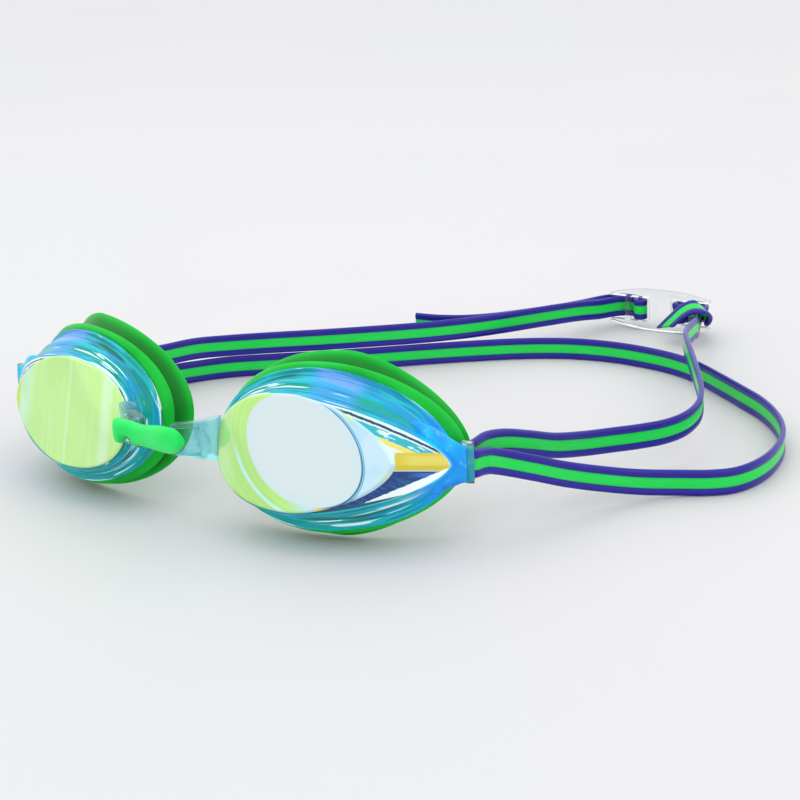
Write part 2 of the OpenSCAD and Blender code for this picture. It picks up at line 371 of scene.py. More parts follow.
def wall_material():
    """The cup's clear aqua wall, with streaks of reflected colour that follow its contour."""
    m = Material("lens_wall")
    x, _, z = m.parts("local")
    turn, level, rising = m.parts("lay")
    streak = m.noise(m.joined(turn * 0.9, level * 0.42, rising * 0.9), 1.0, 3, 0.5)
    fine = m.noise(m.joined(turn * 1.1 + 4.0, level * 0.75, rising * 1.1), 1.0, 2, 0.5)
    wide = m.noise(m.joined(turn * 1.6, level * 0.3 + 7.0, rising * 1.6), 1.0, 2, 0.5)
    temple = x.rise(20.0, 27.0)
    upper = z.rise(2.0, 8.0)
    blue_part = x.band(4.5, 3.5, 4.0) * upper
    colour = m.paint("22D6EA", [
        (streak.rise(0.50, 0.58), "10B49C"),
        (wide.rise(0.54, 0.62) * 0.8, "1CB0F2"),
        (blue_part * 0.7, "4AA4F8"),
        (blue_part * wide.rise(0.5, 0.58) * 0.4, "9CB0F4"),
        # painted refraction: dark green where the green gasket shows through the upper wall
        (x.rise(-2.0, -9.0) * upper * streak.rise(0.5, 0.4), "0A7A4E"),
        (z.rise(-6.0, -11.0) * 0.5, "18C8D4"),
        (streak.rise(0.42, 0.37) * 0.9, "087A62"),
        (fine.rise(0.585, 0.605), "D8FCFE"),
        (fine.rise(0.42, 0.39) * 0.7, "0C8CCC"),
        (temple, "0C9CF2"),
        (temple * z.band(0.0, 3.0, 4.0) * x.rise(30.5, 27.0), "0CC8EE"),
    ])
    # how far the colour covers the clear plastic, as a shade of grey
    cover = m.paint("DADADA", [
        (streak.rise(0.50, 0.58) * 0.9, "D4D4D4"),
        (fine.rise(0.585, 0.605), "FFFFFF"),
        (streak.rise(0.43, 0.38) * 0.8, "E0E0E0"),
        (temple * 0.95, "FFFFFF"),
        (blue_part * 0.8, "F0F0F0"),
    ])
    solid = m.node("ShaderNodeBsdfPrincipled", Base_Color=colour, Roughness=0.3, Coat_Weight=0.08,
                   Specular_IOR_Level=0.25)
    clear = clear_shader(m, linear("6CE0EA"), (0.8, 1, 1, 1), 0.03, ior=1.25)
    return m.finish(m.blend(cover, clear, solid.outputs[0]))


def coat_material(name, rights):
    """The mirrored window, painted in the colours its coating reflects from this side, and the leaf-shaped recess
    beside it.
    """
    m = Material(name)
    x, _, z = m.parts("local")
    turn = m.parts("lay")[0]
    zone = m.parts("zone")[0]
    # the oval where the eye cup shows behind the mirror: 1 on its edge
    oval = ((x + 1.2 + z * 0.26) / 14.0).power(2.1) + ((z - 0.3) / 12.5).power(2.1)
    brush = m.noise(m.joined(x * 0.9, z * 0.04, 0.0), 0.9, 4, 0.55)
    cloud = m.noise(m.joined(x, z, 5.0), 0.12, 2)
    if rights:
        arcs = m.noise(m.joined(oval * 2.2, turn * 0.05, 0.0), 4.0, 3, 0.6)
        # painted reflection: the right face's pale blue-white and yellow-green crescent are the colours its mirror
        # coating shows from this side
        face = m.paint("B0E27C", [
            (x.rise(-17.5, -22.5) * 0.7, "C4EDB0"),
            (arcs.rise(0.50, 0.64) * 0.35, "CDF0CC"),
            (oval.band(1.62, 0.05, 0.08) * z.rise(2.0, -4.0) * 0.9, "BFF0F2"),
            (oval.rise(1.34, 1.16) * x.rise(-6.0, 2.0), "B6DCEA"),
            (x.rise(9.0, 12.0), "B4DAEC"),
            (cloud.rise(0.45, 0.65) * x.rise(10.0, 14.0) * 0.5, "CCE4EE"),
            (x.rise(16.5, 20.0) * z.rise(-1.0, -5.0) * 0.8, "D6E8A4"),
            (oval.rise(1.02, 0.97), "CADCDF"),
            (oval.rise(0.9, 0.3) * 0.5, "D4DDDD"),
            (oval.band(1.03, 0.018, 0.022) * x.rise(2.0, 7.0), "1C8CC8"),
            (oval.band(1.10, 0.012, 0.02) * x.rise(3.0, 9.0) * 0.8, "3E9CC0"),
            (oval.band(1.03, 0.02, 0.03) * x.rise(2.0, 7.0) * z.rise(3.0, -2.0) * 0.6, "0F6E70"),
            (z.rise(-11.8, -12.6) * x.band(7.0, 3.5, 2.0), "E6D23C"),
        ])
    else:
        # painted reflection: the left face's yellow-green is the colour its mirror coating shows from this side
        face = m.paint("BDEB92", [
            (brush.rise(0.42, 0.7) * 0.3, "CDEFB8"),
            (brush.rise(0.60, 0.72) * 0.2, "DFF5DC"),
            # painted highlights: two pale upright bars across the face
            (x.band(-5.4, 0.25, 0.5) * 0.22, "E6F7EE"),
            (x.band(-18.4, 0.9, 1.2) * 0.4, "DDF4EA"),
            (x.rise(9.0, 15.0) * 0.7, "CBF0E0"),
            (x.band(18.2, 0.6, 0.8), "BFE24E"),
            (cloud.rise(0.5, 0.7) * 0.3, "A9E07E"),
        ])
    # the recess: gold, blue, white and teal facets that run to the temple, set out from three slanting lines
    wobble = m.noise(m.joined(x * 0.3, z * 0.3, 1.0), 3.0, 3) - 0.5
    brow = z - 11.9 + x * 0.2 + x * x * 0.0055 + wobble * 0.4
    keel = z + 9.1 - (x - 15.9) * 0.5 + wobble * 0.5
    sill = z + 10.1 - (x - 14.5) * 0.28
    shard = m.noise(m.joined(x * 0.25, brow * 1.2, 3.0), 1.0, 3, 0.6)
    facets = m.paint("D2E8F6", [
        (brow.rise(-0.2, 0.2), "D4F4F8"),
        (brow.rise(0.9, 1.2) * shard.rise(0.48, 0.52), "18C0D0"),
        (brow.band(-1.5, 0.75, 0.2) * shard.rise(0.40, 0.46), "14B0BA"),
        (brow.band(-2.9, 0.35, 0.3), "E4D85A"),
        (brow.band(0.0, 0.22, 0.12) * x.rise(4.0, 9.0), "1E3C50"),
        (z.band(-0.5, 1.9, 0.15) * x.rise(19.8, 20.4), "CEBF32"),
        (z.band(-0.2, 0.7, 0.7) * x.rise(20.5, 24.0) * 0.6, "DED66A"),
        (z.rise(-2.5, -2.75), "0A3880"),
        (z.band(-3.5, 0.35, 0.3) * x.rise(22.0, 26.0), "2E6CC8"),
        (shard.rise(0.5, 0.56) * z.rise(-3.0, -4.5) * 0.6, "0E6A9C"),
        (keel.rise(0.12, -0.12), "F0FBFC"),
        (sill.rise(0.1, -0.1), "0E5A6C"),
        (sill.rise(-0.9, -1.2), "2CBCC0"),
    ])
    recess = zone.rise(0.4, 0.6)
    colour = m.mix(recess, face, facets)
    bright = m.node("ShaderNodeBsdfPrincipled", Base_Color=colour, Roughness=0.3, Coat_Weight=0.3,
                    Coat_Roughness=0.04)
    mirror = m.node("ShaderNodeBsdfGlossy", Color=colour, Roughness=0.05)
    return m.finish(m.blend(recess * -0.2 + 0.35, bright.outputs[0], mirror.outputs[0]))


def clear_material(name, tint, streak_tint, amount):
    """Clear moulding with faint streaks where light gathers inside it."""
    m = Material(name)
    place = m.place()
    streak = m.noise(place, 190, 2, 0.4)
    tiny = m.noise(place, 1800, 2)
    tinted = m.paint(tint, [(streak.rise(0.5, 0.62) * amount, streak_tint)])
    clear = clear_shader(m, tinted, (1, 1, 1, 1), 0.04, m.bump(tiny, 0.05, 0.0001))
    body = m.node("ShaderNodeBsdfPrincipled", Base_Color=tinted, Roughness=0.15, Coat_Weight=0.5)
    return m.finish(m.blend(streak.rise(0.52, 0.7) * amount + 0.06, clear, body.outputs[0]))


def clip_material():
    """Water-clear plastic that shows only at its edges, in painted grey shade where it is seen on the slant, and in
    its gloss.
    """
    m = Material("clip_clear")
    place = m.place()
    swirl = m.noise(place, 220, 3)
    # painted shade: grey laid on where the surface is seen on the slant, for the dark edges of clear plastic
    grazing_shade = m.node("ShaderNodeLayerWeight", Blend=0.35)
    edge = Field(m.tree, grazing_shade.outputs["Facing"]).rise(0.35, 0.85)
    tint = m.mix(edge * 0.9, linear("FAFCFC"), linear("7C888A"))
    clear = clear_shader(m, tint, (1, 1, 1, 1), 0.03, m.bump(swirl, 0.1, 0.0002), 1.4)
    shade = m.mix(edge, linear("F4F6F6"), linear("76848A"))
    body = m.node("ShaderNodeBsdfPrincipled", Base_Color=shade, Roughness=0.1)
    return m.finish(m.blend(swirl.rise(0.55, 0.75) * 0.1 + edge * 0.4, clear, body.outputs[0]))


GASKET = silicone("gasket_silicone", "006A14", "04B832", "14D04C", 0.32, 0.0001, shaded_groove=True)
BRIDGE = silicone("bridge_elastomer", "0CC04A", "1EDC5E", "5CEC8C", 0.36, 0.0001)
STRAP = strap_material()
WALL = wall_material()
COAT = {1: coat_material("window_coat_right", True), -1: coat_material("window_coat_left", False)}
TAB = clear_material("lens_tab", "C4F4F6", "3CC4D0", 0.45)
CLIP = clip_material()

# ---------------------------------------------------------------- strap
# The centre lines of the CAD's strap, before the frame's origin is taken off. The ends that go through the clip are
# measured from the clip's middle and outwards, and their fourth number is the band's lean in degrees.
LOWER_ROUTE = [
    (70.5, 16.2, 18.85), (70.7, 17.6, 18.4), (72, 21.4, 16.9), (75.5, 28, 14), (79.5, 36, 10.4), (84.5, 44.5, 7.2),
    (90.5, 52.5, 4.7), (98, 59, 3.6), (104.5, 63, 3.4), (109, 67.5, 3.4), (111.4, 75, 3.4), (111.6, 85, 3.4),
    (109, 97.5, 3.4), (103.2, 109, 3.4), (95, 119, 3.4), (85.5, 127, 3.4), (76, 134.5, 3.4), (66.5, 141.5, 3.4),
    (56, 146.5, 3.4), (44, 149, 3.4), (32, 149.2, 3.4), (20, 146.5, 3.4), (8, 140.5, 3.4), (-4, 132, 3.4),
    (-16, 122.5, 3.4), (-28, 112.5, 3.4), (-40, 103, 3.4), (-52, 94, 3.4), (-62, 86, 3.4), (-69.5, 76.5, 3.4),
    (-73.5, 66, 4.2), (-75, 54, 6.5), (-75, 42, 9.8), (-73.6, 30, 13.8), (-71.6, 22, 16.8), (-70.7, 17.6, 18.4),
    (-70.5, 16.2, 18.85),
]
RIGHT_UPPER_ROUTE = [
    (67.3, 16.2, 20.6), (67.3, 21, 20.6), (68.2, 28, 19.2), (69.8, 37, 16.2), (71.5, 46, 13), (73.8, 56, 10.6),
    (77.2, 64.6, 9.3), (81.4, 71.6, 8.7), (85.4, 78.4, 8.5), (87.6, 86, 8.7), (87, 95, 9.2), (83.2, 105.2, 9.8),
    (76.8, 117, 10.3), (70, 129, 10.6), (63.2, 140.8, 10.6), (57.6, 152.5, 9.7), (54.6, 163, 8.6),
    (52.6, 170.8, 7.6), (51.6, 173.38, 6.7),
]
LEFT_UPPER_ROUTE = [
    (-67.3, 16.2, 20.6), (-67.8, 23, 19.9), (-69.6, 33, 17.3), (-71.2, 45, 14.3), (-71.8, 57, 12.2), (-71, 68, 11),
    (-68, 78.5, 10.5), (-61.5, 86.3, 10.2), (-52, 94, 10.2), (-40, 103, 10.2), (-28, 112.6, 10.2),
    (-16, 122.8, 10.2), (-6.5, 132.2, 10.3), (0.6, 142.5, 10.1), (5.8, 153.3, 9.6), (10, 163.6, 8.9),
    (12.7, 172, 8), (15.2, 179.05, 7),
]
RIGHT_LEAD_IN = [
    (17.4, -13.8, -0.3), (16, -9.2, -1), (14.6, -4.8, -0.6), (13.6, -1.6, -0.2), (13.2, 0.4, 0), (12.2, 1.7, 0),
    (10.9, 1.9, 0), (9.5, 1.8, 0),
]
LEFT_LEAD_IN = [(18.4, -6.3, 0.1), (16.6, -2.6, 0), (14.4, 0.2, 0), (11.8, 1.8, 0), (9.5, 1.8, 0)]
RIGHT_TAIL = [
    (7.4, 2.8, 0), (10, 3.7, 0), (12.9, 3.6, 0), (14.8, 2, 0), (15.6, -0.2, 0), (15.9, -1.4, 0.1, 6),
    (16.4, -3.2, 1.2, 30), (16.7, -5, 3, 52), (16, -7.2, 4.5, 66), (13.8, -9, 4.7, 70), (11.2, -10.4, 3.2, 62),
    (8.8, -11.4, 0.8, 54), (6.8, -12.1, -1.4, 50),
]
LEFT_TAIL = [
    (7.4, 2.8, 0), (10, 3.8, 0), (13, 4.1, 0), (15.9, 3, 0), (18.5, 0.4, 0.1), (20.7, -4.4, 0.3), (22.4, -9, 0.5),
    (23.8, -13, 0.8), (26.7, -21, 1.4), (31.5, -31, 2.2), (37.6, -41, 2.8), (44, -47.8, 3.2), (51.4, -51.4, 3.4),
    (59.2, -52.6, 3.5),
]
POST = (68.9, 11.5)  # a cup's post, seen from above
TURN_R = 1.6  # the band's radius round a post or a bar of the clip
STRAP_THICKNESS = 1.4
BAND_STEP = 0.9  # between the points of the band's line
CLIP_PLACE = (33.4, 186.5, 6.8)
CLIP_TURN = math.radians(3)
CLIP_BAR_X = 6.6
TURN_BACK_Y = 13.6  # where the band leaves the turn round a post


def section():
    """The band's section: two rounded rails and a thinner core, as (thickness, width) points."""
    rail_middle, rail_half, half_thick, squareness = 2.34, 0.96, STRAP_THICKNESS / 2, 2.6
    core_half_wide, core_half_thick, core_crown = 1.27, 0.52, 0.54
    points = []
    for side in (1, -1):
        for k in range(11):
            angle = math.radians(-50 + 28 * k)
            c, s = math.cos(angle), math.sin(angle)
            bulge = (abs(c) ** squareness + abs(s) ** squareness) ** (-1 / squareness)
            points.append((side * c * bulge * half_thick, side * (rail_middle + s * bulge * rail_half)))
        points.append((-side * core_half_thick, side * core_half_wide))
        points.append((-side * core_crown, 0.0))
        points.append((-side * core_half_thick, -side * core_half_wide))
    return points


SECTION = section()


def weave(lead_in, tail, flip):
    """The band's way through one side of the clip and round its bar, to the free end. Flip is -1 on the left."""
    turn = []
    for i in range(10):
        angle = math.radians(8 - i * 232 / 9)
        turn.append((CLIP_BAR_X + TURN_R * math.cos(angle), TURN_R * math.sin(angle), 0))
    c, s = math.cos(CLIP_TURN), math.sin(CLIP_TURN)
    placed = []
    for x, y, z, *lean in lead_in + turn + tail:
        outward = x * flip
        placed.append((CLIP_PLACE[0] + c * outward - s * y, CLIP_PLACE[1] + s * outward + c * y,
                       CLIP_PLACE[2] + z, *lean))
    return placed


def post_turn(side):
    """The band's turn round one cup's post, climbing a little from the lower run to the upper one."""
    lower_z, first_z, upper_z = 19.5, 19.8, 20.5
    bends = [(POST[0] + TURN_R, TURN_BACK_Y, lower_z)]
    for i in range(9):
        angle = -i * math.pi / 8
        bends.append((POST[0] + TURN_R * math.cos(angle), POST[1] + TURN_R * math.sin(angle), first_z + i / 16))
    bends.append((POST[0] - TURN_R, TURN_BACK_Y, upper_z))
    return [(side * x, y, z) for x, y, z in bends]


def whole_band():
    """One line along the whole band, from the right free end to the left one, with the lean at each point."""
    route = (weave(RIGHT_LEAD_IN, RIGHT_TAIL, 1)[::-1] + RIGHT_UPPER_ROUTE[::-1] + post_turn(1)[::-1] + LOWER_ROUTE
             + post_turn(-1) + LEFT_UPPER_ROUTE + weave(LEFT_LEAD_IN, LEFT_TAIL, -1))
    points = [(x, y - MIDDLE_Y, z, -math.radians(lean[0]) if lean else 0) for x, y, z, *lean in route]
    return smooth_line(points, BAND_STEP)


BAND = whole_band()
BAND_LEAN = BAND[:, 3]
BAND = BAND[:, :3]
BAND_AHEAD = np.gradient(BAND, axis=0)
BAND_ALONG = np.concatenate([[0], np.cumsum(np.linalg.norm(np.diff(BAND, axis=0), axis=1))])


def nearest(point, low, high=None):
    """The number of the band's point nearest to a place, looking from low on."""
    target = np.array(point) - (0, MIDDLE_Y, 0)
    return low + int(np.argmin(np.linalg.norm(BAND[low:high] - target, axis=1)))


def between(row, k):
    """A row's value at a place part of the way from one of its points to the next."""
    whole = min(int(k), len(row) - 2)
    return row[whole] * (1 - (k - whole)) + row[whole + 1] * (k - whole)


def ribbon(name, low, high):
    """The stretch of the band between two of its points, upright except where it leans."""
    close = 0.03  # an extra ring just inside each end keeps the shading of the sides apart from the cut face
    cut_slant, cut_length = 1.3, 9  # the right free end is cut on the slant
    points, lay = [], []
    stations = [low, low + close, *range(low + 1, high), high - close, high]
    for k in stations:
        place, ahead, along, lean = (between(row, k) for row in (BAND, BAND_AHEAD, BAND_ALONG, BAND_LEAN))
        d = np.array([ahead[0], ahead[1], 0])
        d /= np.linalg.norm(d)
        side = np.array([d[1], -d[0], 0])
        cut = 1 - eased(along, 0, cut_length)
        c, s = math.cos(lean), math.sin(lean)
        for t, w in SECTION:
            skew = ahead / np.linalg.norm(ahead) * w * cut_slant * cut
            points.append(place + side * (t * c + w * s) + np.array([0, 0, w * c - t * s]) - skew)
            lay.append((w, along, t))
    n, count = len(SECTION), len(stations)
    piece = new_object(name, points, grid_faces(count, n) + end_faces(count, n), [STRAP])
    store(piece, "strip", lay)
    fix_normals(piece)
    for cap in piece.data.polygons[-2:]:
        cap.use_smooth = False
    return piece


def declare(low, high, backwards=False):
    """Works out a stretch of the band as a path in metres, reversed when backwards; the path is not used."""
    path = [tuple(float(c) * MM for c in p) for p in BAND[low:high + 1]]
    if backwards:
        path = path[::-1]


def bend_piece(piece, body, start, end):
    """Bakes a piece's place into its mesh; it does not blend the piece between bodies."""
    tuple(c * MM for c in start)
    tuple(c * MM for c in end)
    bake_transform(piece)


def build_band():
    """The band in ten stretches; the turns go with their cups and the free ends with the clip."""
    half = len(BAND) // 2
    right_clip = nearest((51.55, 173.5, 6.6), 0, half)
    right_split = nearest((87.6, 86, 8.7), 0, half)
    right_inner = nearest((67.3, 16.2, 20.6), 0, half)
    right_outer = nearest((70.5, 16.2, 18.85), right_inner + 5, half)
    middle = nearest((32, 149.2, 3.4), right_outer)
    left_outer = nearest((-70.5, 16.2, 18.85), middle)
    left_inner = nearest((-67.3, 16.2, 20.6), left_outer + 5)
    left_split = nearest((-52, 94, 10.2), left_inner)
    left_clip = nearest((15.28, 179.15, 6.95), left_inner)

    for name, low, high in (("right", right_inner, right_outer), ("left", left_outer, left_inner)):
        piece = ribbon(name + "_strap_turn", low, high)
        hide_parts(name + "_strap_loop")
        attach(piece, name + "_cup")

    for name, low, high, side in (("right", right_outer, middle, 1), ("left", middle, left_outer, -1)):
        piece = ribbon("strap_lower_" + name, low, high)
        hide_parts("lower_strap")
        declare(low, high, backwards=side < 0)
        bend_piece(piece, name + "_cup", (side * 76, 84, 10), (side * 70, 16, 18))

    for name, low, high, side in (("right", right_split, right_inner, 1), ("left", left_inner, left_split, -1)):
        piece = ribbon("strap_upper_%s_front" % name, low, high)
        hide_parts(name + "_upper_strap")
        declare(low, high, backwards=side > 0)
        bend_piece(piece, name + "_cup", (side * 76, 80, 10), (side * 68, 16, 20))

    for name, low, high, side in (("right", right_clip, right_split, 1), ("left", left_split, left_clip, -1)):
        piece = ribbon("strap_upper_%s_back" % name, low, high)
        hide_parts(name + "_upper_strap")
        declare(low, high, backwards=side > 0)
        x, y, z = (float(c) for c in BAND[right_clip if side > 0 else left_clip])
        bend_piece(piece, "clip", (x, 100, z), (x, y, z))

    for name, low, high in (("right", 0, right_clip), ("left", left_clip, len(BAND) - 1)):
        piece = ribbon("strap_%s_end" % name, low, high)
        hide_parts(name + "_strap_end")
        declare(low, high, backwards=name == "right")
        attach(piece, "clip")


build_band()

# ---------------------------------------------------------------- cups
# A cup's own frame: x to the temple, y to the back, z up. Both cups are placed from it, the left one mirrored.
CUP_PLACE = (36.6, -MIDDLE_Y, 21.7)
CUP_WRAP = math.radians(12)
CUP_LEAN = math.radians(12.5)
BEND_REACH = 30  # the distance from the middle at which a rim is set back by its full bend
# Rims: reach to the nose and to the temple, half height, squareness at the nose and at the temple, bend back at the
# nose and at the temple, then where the middle lies across and up, and how far the temple end drops.
FLANGE = np.array([26.1, 31.2, 18.6, 1.95, 1.95, 4.6, 8.8, -1.5, -0.2, -1.8])
WINDOW = np.array([20.3, 23.9, 13.4, 2.4, 1.6, 5.8, 4.1, -4, -0.7, -1.6])
LEAF = np.array([20.5, 35.4, 13.7, 2.4, 1.55, 5.8, 8.1, -4, -1.0, -0.2])
FRONT_LIP = np.array([28, 31.4, 19.8, 2.2, 1.9, 7, 8.8, 0.2, 0, -0.4])
SEAL = np.array([31.8, 26.4, 21.7, 2.1, 1.65, 7.9, 12.5, 3.6, 0.7, -0.7])


def mixed(a, b, t):
    """A rim part of the way from one rim to another."""
    return a + (b - a) * t


def rim(shape, inset, depth, scale=1.0):
    """The points of a rim, drawn in by inset and set forward by depth, in the cup's own frame."""
    angle = np.arange(ROUND_STEPS) * 2 * math.pi / ROUND_STEPS
    c, s = np.cos(angle), np.sin(angle)
    reach = np.where(c < 0, shape[0], shape[1]) - inset
    square = np.where(c < 0, shape[3], shape[4])
    across = scale * reach * np.sign(c) * np.abs(c) ** (2 / square) + shape[7]
    bend = np.where(across < 0, shape[5], shape[6])
    drop = np.where(across < 0, 0, shape[9]) * (across / BEND_REACH) ** 2
    up = scale * (shape[2] - inset) * np.sign(s) * np.abs(s) ** (2 / square) + shape[8] + drop
    return np.stack([across, bend * (across / BEND_REACH) ** 2 - depth, up], axis=-1)


def place_cup(points, side):
    """Leans and wraps a cup's points and sets them on the wearer's right (1) or left (-1) side."""
    x, y, z = points.T
    c, s = math.cos(CUP_LEAN), math.sin(CUP_LEAN)
    y, z = c * y + s * z, -s * y + c * z
    c, s = math.cos(CUP_WRAP), math.sin(CUP_WRAP)
    x, y = c * x - s * y, s * x + c * y
    return np.stack([side * (CUP_PLACE[0] + x), CUP_PLACE[1] + y, CUP_PLACE[2] + z], axis=-1)


def lens_shell(side):
    """Window, leaf-shaped recess, stepped wall, flange and the hollow behind, as one skin."""
    shelf, shoulder = mixed(FLANGE, LEAF, 0.5), mixed(FLANGE, LEAF, 0.25)
    inner = mixed(FLANGE, WINDOW, 0.6)
    face = [rim(WINDOW, 0.5, 9.8, t) for t in np.linspace(0.02, 0.995, 40)]
    edge = [rim(WINDOW, 0.4, 9.8), rim(WINDOW, 0.1, 9.72), rim(WINDOW, -0.05, 9.35), rim(LEAF, 0.5, 8.75)]
    recess = [edge[-2] + (edge[-1] - edge[-2]) * t for t in np.linspace(0.08, 0.96, 12)]
    wall = round_corners([
        rim(LEAF, 0.5, 8.75), rim(LEAF, 0, 8.7), rim(LEAF, -0.15, 8.2), rim(shelf, 1.2, 6.2), rim(shelf, 0.9, 5.8),
        rim(shoulder, 1.4, 5.4), rim(FLANGE, 1.6, 2.9), rim(FLANGE, 1.4, 2.5), rim(FLANGE, 0.2, 2.4),
        rim(FLANGE, 0, 2.2), rim(FLANGE, 0, 0.9), rim(FLANGE, 4.4, 0.9), rim(shoulder, 4.2, 2.8),
        rim(inner, 3.0, 4.8), rim(WINDOW, 3.4, 7.2),
    ], 0.12, 2, False)
    back = [rim(WINDOW, 3.4, 7.2, t) for t in np.linspace(0.96, 0.02, 12)]
    rings = face + edge[:3] + recess + wall + back
    n = ROUND_STEPS
    local = np.concatenate(rings + [rings[0].mean(0)[None], rings[-1].mean(0)[None]])
    faces = grid_faces(len(rings), n)
    total = len(rings) * n
    faces += [(total, i, (i + 1) % n) for i in range(n)]
    faces += [(total + 1, total - n + (i + 1) % n, total - n + i) for i in range(n)]
    name = "right" if side > 0 else "left"
    piece = new_object(name + "_cup_shell", place_cup(local, side), faces, [WALL, COAT[side]])
    coated = len(face) + len(edge) - 1 + len(recess)
    index = [1 if k < coated * n else 0 for k in range((len(rings) - 1) * n)] + [1] * n + [0] * n
    piece.data.polygons.foreach_set("material_index", index)
    store(piece, "local", local)
    # the way round the rim and the distance down the wall, and which rings lie in the recess
    angles = np.arange(n) * 2 * math.pi / n
    lay, zones, level = [], [], 0.0
    for k in range(len(rings)):
        level += 0.0 if k < coated else float(np.linalg.norm(rings[k] - rings[k - 1], axis=1).mean())
        lay += [(math.cos(a), level, math.sin(a)) for a in angles]
        zones += [(1.0 if len(face) + 3 <= k < coated else 0.0, 0, 0)] * n
    store(piece, "lay", lay + [(0, 0, 0)] * 2)
    store(piece, "zone", zones + [(0, 0, 0)] * 2)
    fix_normals(piece)
    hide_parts(name + "_lens_cup")
    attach(piece, name + "_cup")


def gasket(side):
    """The soft face seal: a front lip round the flange, a waist and a wider sealing lip."""
    # each corner as rim, inset, depth and how deep it lies in the groove, which sets the painted shade there
    groove = mixed(FRONT_LIP, SEAL, 0.45)
    outline = [
        (FLANGE, 4.6, 0.8, 0), (FLANGE, 1.2, 0.8, 0), (FRONT_LIP, 0.7, 0.8, 0), (FRONT_LIP, 0, 0, 0),
        (FRONT_LIP, 0.7, -0.8, 0.7), (groove, 4.2, -1.6, 1), (SEAL, 2, -3.9, 0.8), (SEAL, 0, -4.7, 0),
        (SEAL, 0.7, -5.5, 0), (SEAL, 5.5, -5.5, 0), (groove, 6.4, -2.6, 0.3),
    ]
    rings = [np.hstack([rim(shape, inset, depth), np.full((ROUND_STEPS, 1), groove_shade)])
             for shape, inset, depth, groove_shade in outline]
    local = np.concatenate(round_corners(rings, 0.2, 3, True))
    name = "right" if side > 0 else "left"
    piece = new_object(name + "_face_seal", place_cup(local[:, :3], side),
                       grid_faces(len(local) // ROUND_STEPS, ROUND_STEPS, True), [GASKET])
    store(piece, "groove_shade", np.repeat(local[:, 3:], 3, axis=1))
    fix_normals(piece)
    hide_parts(name + "_gasket")
    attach(piece, name + "_cup")


NEAR_ZERO = 0.001  # a radius small enough to close a turned shape without doubled points
POST_RADIUS = 0.8


def prism(name, outline, low, high, side, material, bevel, taper=0.0):
    """An upright prism with rounded edges, which may grow lower and higher with its distance from the nose."""
    pts = [(side * x, y - MIDDLE_Y, z + grow * taper * (x - outline[-1][0])) for z, grow in ((low, -1), (high, 1))
           for x, y in outline]
    n = len(outline)
    faces = [tuple(range(n)), tuple(range(2 * n - 1, n - 1, -1))]
    faces += [(i, n + i, n + (i + 1) % n, (i + 1) % n) for i in range(n)]
    piece = new_object(name, pts, faces, [material])
    fix_normals(piece)
    rounding = piece.modifiers.new("rounding", "BEVEL")
    rounding.width = bevel * MM
    rounding.segments = 3
    rounding.limit_method = "ANGLE"
    return piece


def revolved(name, profile, centre, side, material):
    """A closed profile of (radius, height) points, turned about an upright line over the side that faces away."""
    start, span, steps = 180, 135, 36
    rings = []
    for k in range(steps + 1):
        angle = math.radians(start + span * k / steps)
        rings.append([(side * (centre[0] + r * math.cos(angle)), centre[1] - MIDDLE_Y + r * math.sin(angle), z)
                      for r, z in profile])
    faces = grid_faces(steps + 1, len(profile)) + end_faces(steps + 1, len(profile))
    piece = new_object(name, np.array(rings).reshape(-1, 3), faces, [material])
    fix_normals(piece)
    return piece


def pin(name, centre, radius, low, high, side, material):
    """An upright pin with a chamfered rim at each end."""
    steps, chamfer = 32, 0.2
    profile = [(NEAR_ZERO, low), (radius - chamfer, low), (radius, low + chamfer), (radius, high - chamfer),
               (radius - chamfer, high), (NEAR_ZERO, high)]
    rings = [[(side * (centre[0] + r * math.cos(2 * math.pi * k / steps)),
               centre[1] - MIDDLE_Y + r * math.sin(2 * math.pi * k / steps), z) for k in range(steps)]
             for r, z in profile]
    faces = grid_faces(len(profile), steps) + end_faces(len(profile), steps)
    piece = new_object(name, np.array(rings).reshape(-1, 3), faces, [material])
    fix_normals(piece)
    return piece


def anchor_arm(name, side):
    """The shoulder that runs from the cup's wall to the guard, tall at the cup and lower at the guard."""
    # each station as x, y, half thickness, half height and the height of its middle
    stations = [(54.4, 4.6, 1.0, 7.4, 21.2), (57.0, 5.0, 1.5, 8.6, 21.2), (59.8, 5.5, 1.8, 8.8, 21.0),
                (62.4, 6.6, 1.8, 7.9, 20.8), (64.6, 7.6, 1.5, 6.6, 20.4), (66.2, 8.4, 1.0, 5.5, 20.2),
                (67.8, 8.75, 0.5, 4.7, 20.2), (69.3, 8.75, 0.3, 4.2, 20.2)]
    n, roundness, diagonal = 40, 0.8, 0.707
    rings = []
    for x, y, half_thick, half_tall, middle in stations:
        ring = []
        for k in range(n):
            c, s = math.cos(2 * math.pi * k / n), math.sin(2 * math.pi * k / n)
            across = half_thick * math.copysign(abs(c) ** roundness, c)
            ring.append((side * (x + across * diagonal), y - MIDDLE_Y - across * diagonal,
                         middle + half_tall * math.copysign(abs(s) ** roundness, s)))
        rings.append(np.array(ring))
    rings = round_corners(rings, 0.25, 2, False)
    faces = grid_faces(len(rings), n) + end_faces(len(rings), n)
    piece = new_object(name, np.concatenate(rings), faces, [WALL_PLAIN])
    fix_normals(piece)
    return piece


